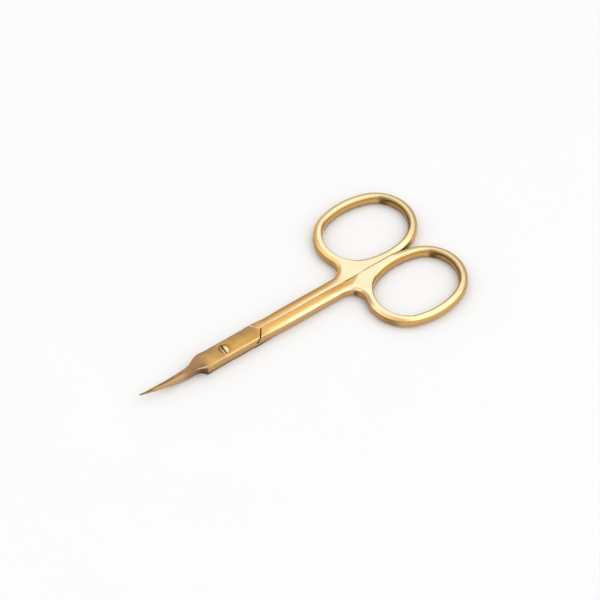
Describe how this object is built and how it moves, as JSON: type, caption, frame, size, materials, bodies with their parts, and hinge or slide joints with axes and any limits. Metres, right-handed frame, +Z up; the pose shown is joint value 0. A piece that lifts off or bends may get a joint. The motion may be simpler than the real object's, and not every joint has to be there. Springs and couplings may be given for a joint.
{
  "type": "cuticle scissors",
  "caption": "Small gold-coloured cuticle scissors: slender upturned blades, a slotted pivot screw, straight shanks side by side and oval finger rings.",
  "frame": {"origin": "where the pivot's axis meets the surface that the scissors lie on", "axes": "+X from the pivot to the blade tips, +Y to the lower half's finger ring, +Z up, the side with the screw's head and the way the tips bend"},
  "size_m": [0.0935, 0.0452, 0.0038],
  "materials": {
    "gold_coated_steel": "forged steel with a thin gold-coloured coating, satin on the joint and polished on the rings",
    "polished_screw": "gold-coated and polished"
  },
  "bodies": {
    "lower_half": {"lower_half": "gold_coated_steel"},
    "upper_half": {"upper_half": "gold_coated_steel"},
    "pivot_screw": {"pivot_screw": "polished_screw"}
  },
  "joints": [
    {"name": "pivot", "type": "hinge", "parent": "lower_half", "child": "upper_half", "pos_m": [0, 0, 0], "axis": [0, 0, 1], "range_deg": [0, 90]},
    {"name": "screw_adjustment", "type": "hinge", "parent": "lower_half", "child": "pivot_screw", "pos_m": [0, 0, 0], "axis": [0, 0, 1], "range_deg": [-45, 45]}
  ]
}
